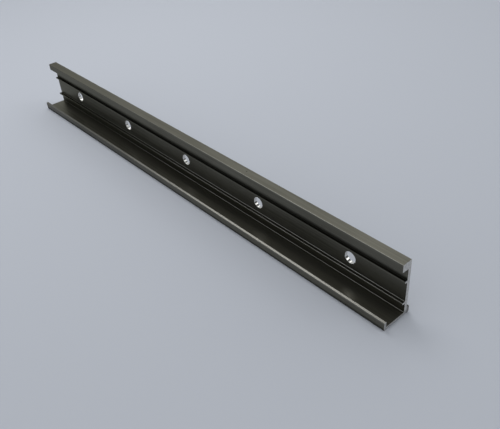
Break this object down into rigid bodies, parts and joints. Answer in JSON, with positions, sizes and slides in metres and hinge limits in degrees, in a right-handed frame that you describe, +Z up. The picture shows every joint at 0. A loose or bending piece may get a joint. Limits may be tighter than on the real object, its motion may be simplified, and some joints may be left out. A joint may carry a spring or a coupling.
{
  "type": "aluminium extrusion profile",
  "caption": "Dark anodised aluminium extrusion: an upright drilled web with a head bar, small ribs and a heel, and a foot flange with a turned-up lip; an edge or panel fixing rail.",
  "frame": {"origin": "middle of the base, on the floor that the lip's toe and the heel stand on", "axes": "+X along the stock, +Y from the lip to the back of the web, +Z up"},
  "size_m": [0.3, 0.0162, 0.03],
  "materials": {
    "anodised": "dark bronze-grey satin anodised, with bare sawn ends and drilled holes"
  },
  "bodies": {
    "root": {"profile": "anodised"}
  },
  "joints": []
}
